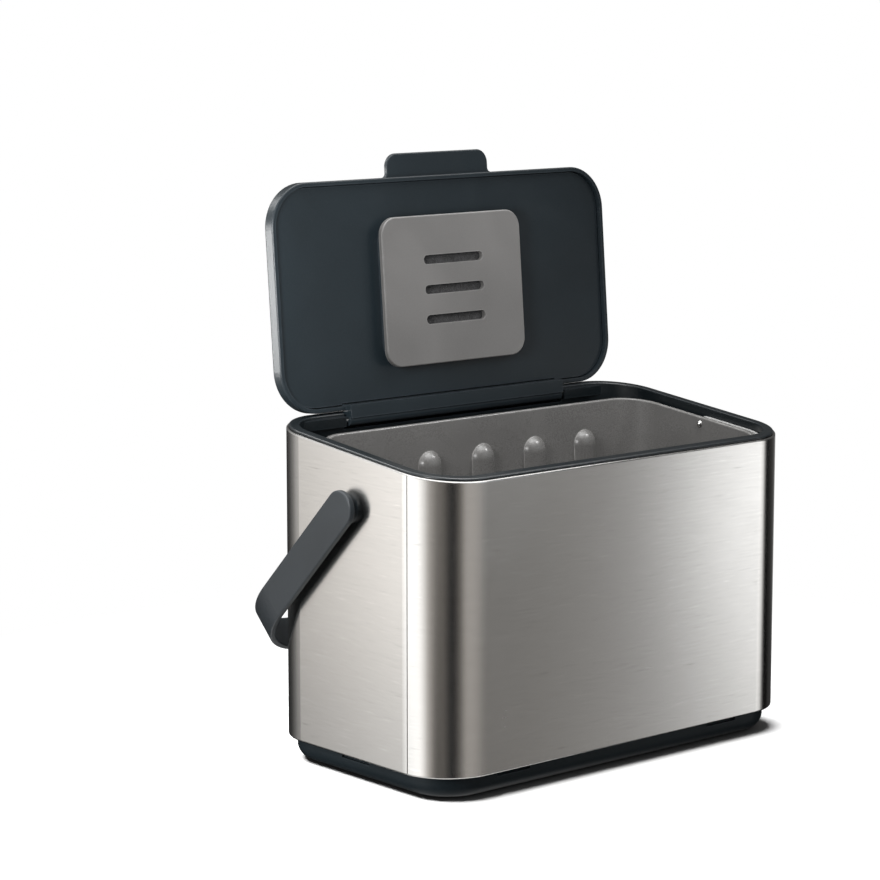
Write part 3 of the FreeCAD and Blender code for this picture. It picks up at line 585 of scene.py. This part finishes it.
def fibre_tree():
    """Curled fibres that stand off the faces of a felt."""
    tree, inside, outside = new_tree("felt_fibres", {
        "Fibres per square metre": "Float", "Length": "Float", "Thickness": "Float",
        "Seed": "Int", "Finish": "Material",
    })
    scatter = place(tree, "GeometryNodeDistributePointsOnFaces")
    bend = place(tree, "GeometryNodeCurveQuadraticBezier", {
        "Resolution": 4, "Start": (0, 0, -0.1),
        "Middle": (0.25, 0.1, 0.55), "End": (0.95, -0.1, 0.15)})
    round_wire = place(tree, "GeometryNodeCurvePrimitiveCircle", {"Resolution": 3})
    skin = place(tree, "GeometryNodeCurveToMesh", {"Fill Caps": True})
    thin = sum_of(tree, "DIVIDE", inside.outputs["Thickness"], inside.outputs["Length"])
    half = sum_of(tree, "MULTIPLY", thin, 0.5)
    lean, shortest, longest = 0.3, 0.6, 1.3
    spin = place(tree, "FunctionNodeRandomValue", {
        0: (-lean, -lean, 0.0), 1: (lean, lean, 2 * math.pi)}, data_type="FLOAT_VECTOR")
    size = place(tree, "FunctionNodeRandomValue", {2: shortest, 3: longest}, data_type="FLOAT")
    turned = place(tree, "FunctionNodeRotateRotation", rotation_space="LOCAL")
    stand = place(tree, "GeometryNodeInstanceOnPoints")
    tree.links.new(inside.outputs["Mesh"], scatter.inputs["Mesh"])
    tree.links.new(inside.outputs["Fibres per square metre"], scatter.inputs["Density"])
    for node in (scatter, spin, size):
        tree.links.new(inside.outputs["Seed"], node.inputs["Seed"])
    tree.links.new(half, round_wire.inputs["Radius"])
    tree.links.new(bend.outputs["Curve"], skin.inputs["Curve"])
    tree.links.new(round_wire.outputs["Curve"], skin.inputs["Profile Curve"])
    tree.links.new(scatter.outputs["Rotation"], turned.inputs["Rotation"])
    tree.links.new(spin.outputs[0], turned.inputs["Rotate By"])
    tree.links.new(scatter.outputs["Points"], stand.inputs["Points"])
    tree.links.new(skin.outputs["Mesh"], stand.inputs["Instance"])
    tree.links.new(turned.outputs["Rotation"], stand.inputs["Rotation"])
    length = sum_of(tree, "MULTIPLY", size.outputs[1], inside.outputs["Length"])
    tree.links.new(length, stand.inputs["Scale"])
    end_tree(tree, stand.outputs["Instances"], inside, outside)
    return tree


def felt_fuzz(pad):
    """Loose fibres on the felt pad."""
    mesh = grow("felt_filter_fuzz", pad.data.copy(), fibre_tree(), {
        "Fibres per square metre": 240000.0, "Length": 0.0026, "Thickness": 0.00007,
        "Seed": 4, "Finish": FINISHES["filter_felt"],
    })
    new_piece("felt_filter_fuzz", mesh, "filter")


def turned_foot():
    """One rubber foot turned on its axis, with grip rings round its sole and a soft outer edge."""
    rings = [(r * MILLIMETRE, z * MILLIMETRE) for r, z in FOOT_PROFILE]
    points = [(0.0, 0.0, rings[0][1])]
    faces = []
    for radius, height in rings:
        for step in range(FOOT_SIDES):
            angle = 2 * math.pi * step / FOOT_SIDES
            points.append((radius * math.cos(angle), radius * math.sin(angle), height))
    points.append((0.0, 0.0, rings[-1][1]))
    for step in range(FOOT_SIDES):
        near, far = 1 + step, 1 + (step + 1) % FOOT_SIDES
        faces.append((0, far, near))
        for ring in range(len(rings) - 1):
            below, above = ring * FOOT_SIDES, (ring + 1) * FOOT_SIDES
            faces.append((near + below, far + below, far + above, near + above))
        top = (len(rings) - 1) * FOOT_SIDES
        faces.append((near + top, far + top, len(points) - 1))
    mesh = bpy.data.meshes.new("turned_foot")
    mesh.from_pydata(points, [], faces)
    return mesh


def foot_tree():
    """A foot at each corner of a rectangle."""
    tree, inside, outside = new_tree(
        "corner_feet", {"Width": "Float", "Depth": "Float", "Finish": "Material"})
    corners = place(tree, "GeometryNodeMeshGrid", {"Vertices X": 2, "Vertices Y": 2})
    stand = place(tree, "GeometryNodeInstanceOnPoints")
    tree.links.new(inside.outputs["Width"], corners.inputs["Size X"])
    tree.links.new(inside.outputs["Depth"], corners.inputs["Size Y"])
    tree.links.new(corners.outputs["Mesh"], stand.inputs["Points"])
    tree.links.new(inside.outputs["Mesh"], stand.inputs["Instance"])
    end_tree(tree, stand.outputs["Instances"], inside, outside)
    return tree


def rubber_feet():
    """The four turned feet, where the plain ones stand."""
    low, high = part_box("base_foot_1")
    middle = (low + high) / 2
    mesh = grow("rubber_feet", turned_foot(), foot_tree(), {
        "Width": 2 * abs(middle.x), "Depth": 2 * abs(middle.y),
        "Finish": FINISHES["foot_rubber"],
    })
    feet = new_piece("rubber_feet", mesh, "body")
    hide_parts("base_foot_1", "base_foot_2", "base_foot_3", "base_foot_4")


felt_fuzz(felt_pad())
rubber_feet()


# Studio: floor, soft tent, lamps and camera

def thing_set(name, things):
    """A collection of things that a lamp lights, or that may shade it."""
    together = bpy.data.collections.new(name)
    for thing in things:
        together.objects.link(thing)
    return together


def add_lamp(name, spot, aim, size, power, lights, shades=()):
    """A soft lamp that lights only some things, and whose shadow only some things may cast."""
    lamp = bpy.data.lights.new(name, "AREA")
    lamp.shape = "RECTANGLE"
    lamp.size, lamp.size_y = size
    lamp.energy = power
    holder = bpy.data.objects.new(name, lamp)
    scene.collection.objects.link(holder)
    holder.location = spot
    holder.rotation_euler = (Vector(aim) - Vector(spot)).to_track_quat("-Z", "Y").to_euler()
    holder.visible_camera = False
    holder.light_linking.receiver_collection = thing_set(name + "_lit", lights)
    if shades:
        holder.light_linking.blocker_collection = thing_set(name + "_shades", shades)


def plain_finish(name):
    """An empty material for the studio."""
    finish = bpy.data.materials.new(name)
    finish.use_nodes = True
    finish.node_tree.nodes.clear()
    return finish, finish.node_tree


def soft_world():
    """Even light from all round, white behind the object."""
    world = bpy.data.worlds.new("studio")
    scene.world = world
    world.use_nodes = True
    tree = world.node_tree
    tree.nodes.clear()
    path = place(tree, "ShaderNodeLightPath")
    straight = sum_of(
        tree, "MAXIMUM", path.outputs["Is Camera Ray"], path.outputs["Is Transmission Ray"])
    seen = sum_of(tree, "MAXIMUM", straight, path.outputs["Is Glossy Ray"])
    shade = blend_colour(tree, seen, (WORLD_LIGHT,) * 3, (1.0,) * 3)
    sky = place(tree, "ShaderNodeBackground", {"Strength": 1.0})
    output = place(tree, "ShaderNodeOutputWorld")
    tree.links.new(shade, sky.inputs["Color"])
    tree.links.new(sky.outputs["Background"], output.inputs["Surface"])


def pale_floor():
    """A pale floor that keeps the shadow and runs out to white."""
    mesh = bpy.data.meshes.new("floor")
    square = (-1, -1), (1, -1), (1, 1), (-1, 1)
    corners = [(FLOOR_REACH * x, FLOOR_REACH * y, 0) for x, y in square]
    mesh.from_pydata(corners, [], [(0, 1, 2, 3)])
    floor = bpy.data.objects.new("floor", mesh)
    scene.collection.objects.link(floor)
    finish, tree = plain_finish("pale_floor")
    path = place(tree, "ShaderNodeLightPath")
    paper = place(tree, "ShaderNodeBsdfDiffuse")
    shade = blend_colour(
        tree, path.outputs["Is Camera Ray"], (FLOOR_TONE,) * 3, (FLOOR_SEEN,) * 3)
    tree.links.new(shade, paper.inputs["Color"])
    far_white = place(tree, "ShaderNodeEmission", {
        "Color": (1.0, 1.0, 1.0, 1.0), "Strength": 1.0})
    where = place(tree, "ShaderNodeTexCoord")
    away = place(tree, "ShaderNodeVectorMath", operation="LENGTH")
    tree.links.new(where.outputs["Object"], away.inputs[0])
    fade = between(tree, away.outputs["Value"], FADE_FROM, FADE_TO)
    white = sum_of(tree, "MULTIPLY", fade, path.outputs["Is Camera Ray"])
    whole = place(tree, "ShaderNodeMixShader")
    output = place(tree, "ShaderNodeOutputMaterial")
    tree.links.new(white, whole.inputs["Fac"])
    tree.links.new(paper.outputs["BSDF"], whole.inputs[1])
    tree.links.new(far_white.outputs["Emission"], whole.inputs[2])
    tree.links.new(whole.outputs["Shader"], output.inputs["Surface"])
    mesh.materials.append(finish)
    floor.visible_glossy = False
    floor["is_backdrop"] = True
    return floor


# Panels round the object: direction in degrees from +X towards +Y, brightness and warmth
LOW_PANELS = (
    (0, 0.04, 0.02), (12, 0.10, 0.00), (28, 0.36, 0.00), (45, 0.30, 0.00), (62, 0.02, 0.00),
    (78, 0.02, 0.02), (90, 0.03, 0.02), (104, 0.07, 0.03), (118, 0.20, 0.03), (128, 0.40, 0.03),
    (134, 0.62, 0.04), (142, 1.31, 0.03), (150, 1.57, 0.00), (168, 1.53, 0.00), (181, 1.12, 0.01),
    (192, 0.48, 0.05), (205, 0.21, 0.08), (220, 0.085, 0.10), (231, 0.00, 0.15), (240, 0.03, 0.15),
    (248, 0.145, 0.10), (256, 0.345, 0.06), (275, 0.33, 0.06), (300, 0.13, 0.07),
    (307, 0.205, 0.04), (312, 0.43, 0.00), (318, 1.46, -0.01), (324, 1.38, 0.00),
    (334, 0.10, 0.03), (348, 0.02, 0.03), (360, 0.04, 0.02),
)
HIGH_PANELS = (
    (0, 0.10, 0.00), (62, 0.10, 0.00), (100, 0.30, 0.00), (128, 0.75, 0.00), (150, 1.30, 0.00),
    (175, 1.20, 0.00), (192, 0.50, 0.00), (218, 0.12, 0.05), (231, 0.03, 0.05), (243, 0.10, 0.05),
    (256, 0.36, 0.00), (275, 0.50, 0.00), (290, 0.75, -0.04), (300, 0.85, -0.05),
    (304, 0.60, -0.05), (306, 0.35, -0.04), (308, 0.10, -0.04), (313, 0.03, -0.04),
    (321, 0.25, 0.00), (333, 0.08, 0.00), (360, 0.10, 0.00),
)
FLOOR_PANELS = (
    (0, 0.04, 0.00), (62, 0.03, 0.00), (104, 0.05, 0.00), (125, 0.20, 0.00), (133, 0.30, 0.00),
    (142, 0.72, 0.00), (150, 1.05, 0.00), (159, 1.30, 0.00), (168, 1.58, 0.00), (181, 1.74, 0.01),
    (190, 0.90, 0.03), (200, 0.29, 0.06), (207, 0.07, 0.06), (219, 0.09, 0.10), (231, 0.00, 0.10),
    (240, 0.04, 0.10), (247, 0.16, 0.06), (256, 0.34, 0.06), (262, 0.40, 0.06), (275, 0.36, 0.06),
    (300, 0.21, 0.05), (304, 0.245, 0.04), (310, 0.36, 0.02), (313, 0.44, 0.01), (316, 0.62, 0.00),
    (319, 0.845, 0.00), (324, 1.06, 0.00), (334, 0.08, 0.00), (360, 0.04, 0.00),
)
BRIGHTEST_PANEL = 2.0
FULL_TURN = 360
TENT_RADIUS = 0.7
TENT_LOW, TENT_HIGH = -0.8, 0.9
TENT_SIDES = 96
# Two heights in the tent between which a ring changes its brightness or two rings meet, and for
# a ring the brightness at each of them
LOW_RISE = (-0.30, 0.10, 0.30, 1.45)
FLOOR_DIM = (-0.26, -0.42, 1.0, 0.25)
FLOOR_MEETS_LOW = (-0.06, -0.13)
LOW_MEETS_HIGH = (0.11, 0.21)


def panel_ring(tree, turn, panels):
    """The brightness of a ring of panels by direction."""
    ramp = place(tree, "ShaderNodeValToRGB")
    ramp.color_ramp.interpolation = "CARDINAL"
    stops = ramp.color_ramp.elements
    stops.remove(stops[1])
    for number, (degrees, light, warmth) in enumerate(panels):
        stop = stops.new(degrees / FULL_TURN) if number else stops[0]
        stop.position = degrees / FULL_TURN
        share = light / BRIGHTEST_PANEL
        stop.color = (share * (1 + warmth), share, share * (1 - warmth), 1.0)
    tree.links.new(turn, ramp.inputs["Fac"])
    return ramp.outputs["Color"]


def shine_only(thing):
    """Something that only the shine of the object shows."""
    thing.visible_camera = False
    thing.visible_diffuse = False
    thing.visible_transmission = False
    thing.visible_shadow = False
    thing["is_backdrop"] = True


def tent_finish():
    """Light from three rings of panels: by the floor, low round the steel, and high."""
    finish, tree = plain_finish("tent_panels")
    where = place(tree, "ShaderNodeTexCoord")
    parts = place(tree, "ShaderNodeSeparateXYZ")
    tree.links.new(where.outputs["Object"], parts.inputs["Vector"])
    back_x = sum_of(tree, "MULTIPLY", parts.outputs["X"], -1.0)
    back_y = sum_of(tree, "MULTIPLY", parts.outputs["Y"], -1.0)
    angle = sum_of(tree, "ARCTAN2", back_y, back_x)
    turn = sum_of(tree, "MULTIPLY_ADD", angle, 0.5 / math.pi, 0.5)
    rise = between(tree, parts.outputs["Z"], *LOW_RISE)
    low = place(tree, "ShaderNodeVectorMath", operation="SCALE")
    tree.links.new(panel_ring(tree, turn, LOW_PANELS), low.inputs["Vector"])
    tree.links.new(rise, low.inputs["Scale"])
    dim = place(tree, "ShaderNodeVectorMath", operation="SCALE")
    tree.links.new(panel_ring(tree, turn, FLOOR_PANELS), dim.inputs["Vector"])
    tree.links.new(between(tree, parts.outputs["Z"], *FLOOR_DIM), dim.inputs["Scale"])
    sunk = between(tree, parts.outputs["Z"], *FLOOR_MEETS_LOW)
    lower = blend_colour(tree, sunk, low.outputs["Vector"], dim.outputs["Vector"])
    height = between(tree, parts.outputs["Z"], *LOW_MEETS_HIGH)
    light = blend_colour(tree, height, lower, panel_ring(tree, turn, HIGH_PANELS))
    glow = place(tree, "ShaderNodeEmission", {"Strength": BRIGHTEST_PANEL})
    output = place(tree, "ShaderNodeOutputMaterial")
    tree.links.new(light, glow.inputs["Color"])
    tree.links.new(glow.outputs["Emission"], output.inputs["Surface"])
    return finish


def stage_mesh(name, points, faces, finish):
    """A part of the tent, as its own object."""
    mesh = bpy.data.meshes.new(name)
    mesh.from_pydata(points, [], faces)
    mesh.materials.append(finish)
    thing = bpy.data.objects.new(name, mesh)
    scene.collection.objects.link(thing)
    shine_only(thing)


def soft_tent():
    """A round tent of panels with a white roof."""
    turns = [2 * math.pi * step / TENT_SIDES for step in range(TENT_SIDES)]
    points = [(TENT_RADIUS * math.cos(turn), TENT_RADIUS * math.sin(turn), height)
              for height in (TENT_LOW, TENT_HIGH) for turn in turns]
    walls = []
    for near in range(TENT_SIDES):
        far = (near + 1) % TENT_SIDES
        walls.append((near, far, TENT_SIDES + far, TENT_SIDES + near))
    stage_mesh("soft_tent", points, walls, tent_finish())
    white, tree = plain_finish("roof_white")
    glow = place(tree, "ShaderNodeEmission", {"Strength": ROOF_LIGHT})
    output = place(tree, "ShaderNodeOutputMaterial")
    tree.links.new(glow.outputs["Emission"], output.inputs["Surface"])
    stage_mesh("tent_roof", points[TENT_SIDES:], [tuple(range(TENT_SIDES))], white)


def photo_camera():
    """The camera where the photograph was taken from."""
    eye = bpy.data.cameras.new("camera")
    eye.lens = CAMERA_LENS
    eye.sensor_width = CAMERA_SENSOR
    eye.clip_start, eye.clip_end = 0.05, 50.0
    camera = bpy.data.objects.new("camera", eye)
    scene.collection.objects.link(camera)
    back = CAMERA_BACK.normalized()
    right = CAMERA_RIGHT.normalized()
    up = back.cross(right)
    turn = Matrix((right, up, back)).transposed().to_4x4()
    camera.matrix_world = Matrix.Translation(CAMERA_PLACE) @ turn
    scene.camera = camera


def riders(things, body):
    """The things that ride on one body."""
    return [thing for thing in things if body_of(thing) == [body]]


soft_world()
floor = pale_floor()
soft_tent()
moulded = [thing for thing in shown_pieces() if thing.name != "outer_shell"]
on_lid, in_bucket = riders(moulded, "lid"), riders(moulded, "bucket")
outside = [thing for thing in moulded if thing not in in_bucket]
others = [thing for thing in outside if thing not in on_lid]
low_pieces = [thing for thing in moulded if thing.name in ("base_tray", "rubber_feet")]

# Place, aim and size of each lamp, its power in watts, what it lights and what may shade it
OVERHEAD = (0.05, -0.12, 0.86), (0.0, 0.0, 0.10), (0.5, 0.4)
LAMPS = {
    "top_lamp": (*OVERHEAD, 4.5, others),
    "lid_lamp": (*OVERHEAD, 2.7, on_lid),
    "bucket_lamp": (*OVERHEAD, 3.3, in_bucket),
    "rib_lamp": ((0.36, -0.20, 0.62), (0.0, 0.02, 0.12), (0.08, 0.08), 1.1, in_bucket),
    "right_lamp": ((0.45, -0.42, 0.72), (0.0, 0.0, 0.15), (0.2, 0.2), 1.0, outside),
    "left_lamp": ((-0.425, 0.475, 0.21), (-0.12, 0.08, 0.26), (0.16, 0.18), 2.0, on_lid),
    "panel_lamp": ((-0.32, -0.10, 0.28), (-0.12, 0.08, 0.25), (0.10, 0.10), 1.5, on_lid),
    "edge_lamp": ((-0.55, -0.18, 0.36), (-0.05, 0.0, 0.15), (0.12, 0.12), 1.5, moulded),
    "base_lamp": ((-0.62, 0.0, 0.16), (-0.10, 0.0, 0.01), (0.2, 0.1), 2.6, low_pieces),
    "back_lamp": ((-0.30, 0.50, 0.65), (-0.10, 0.0, 0.17), (0.25, 0.2), 1.5, outside),
    "floor_lamp": ((-0.6, 0.45, 1.6), (0.0, 0.0, 0.0), (0.9, 0.9), 430.0, [floor], low_pieces),
}
for lamp_name, setting in LAMPS.items():
    add_lamp(lamp_name, *setting)
photo_camera()
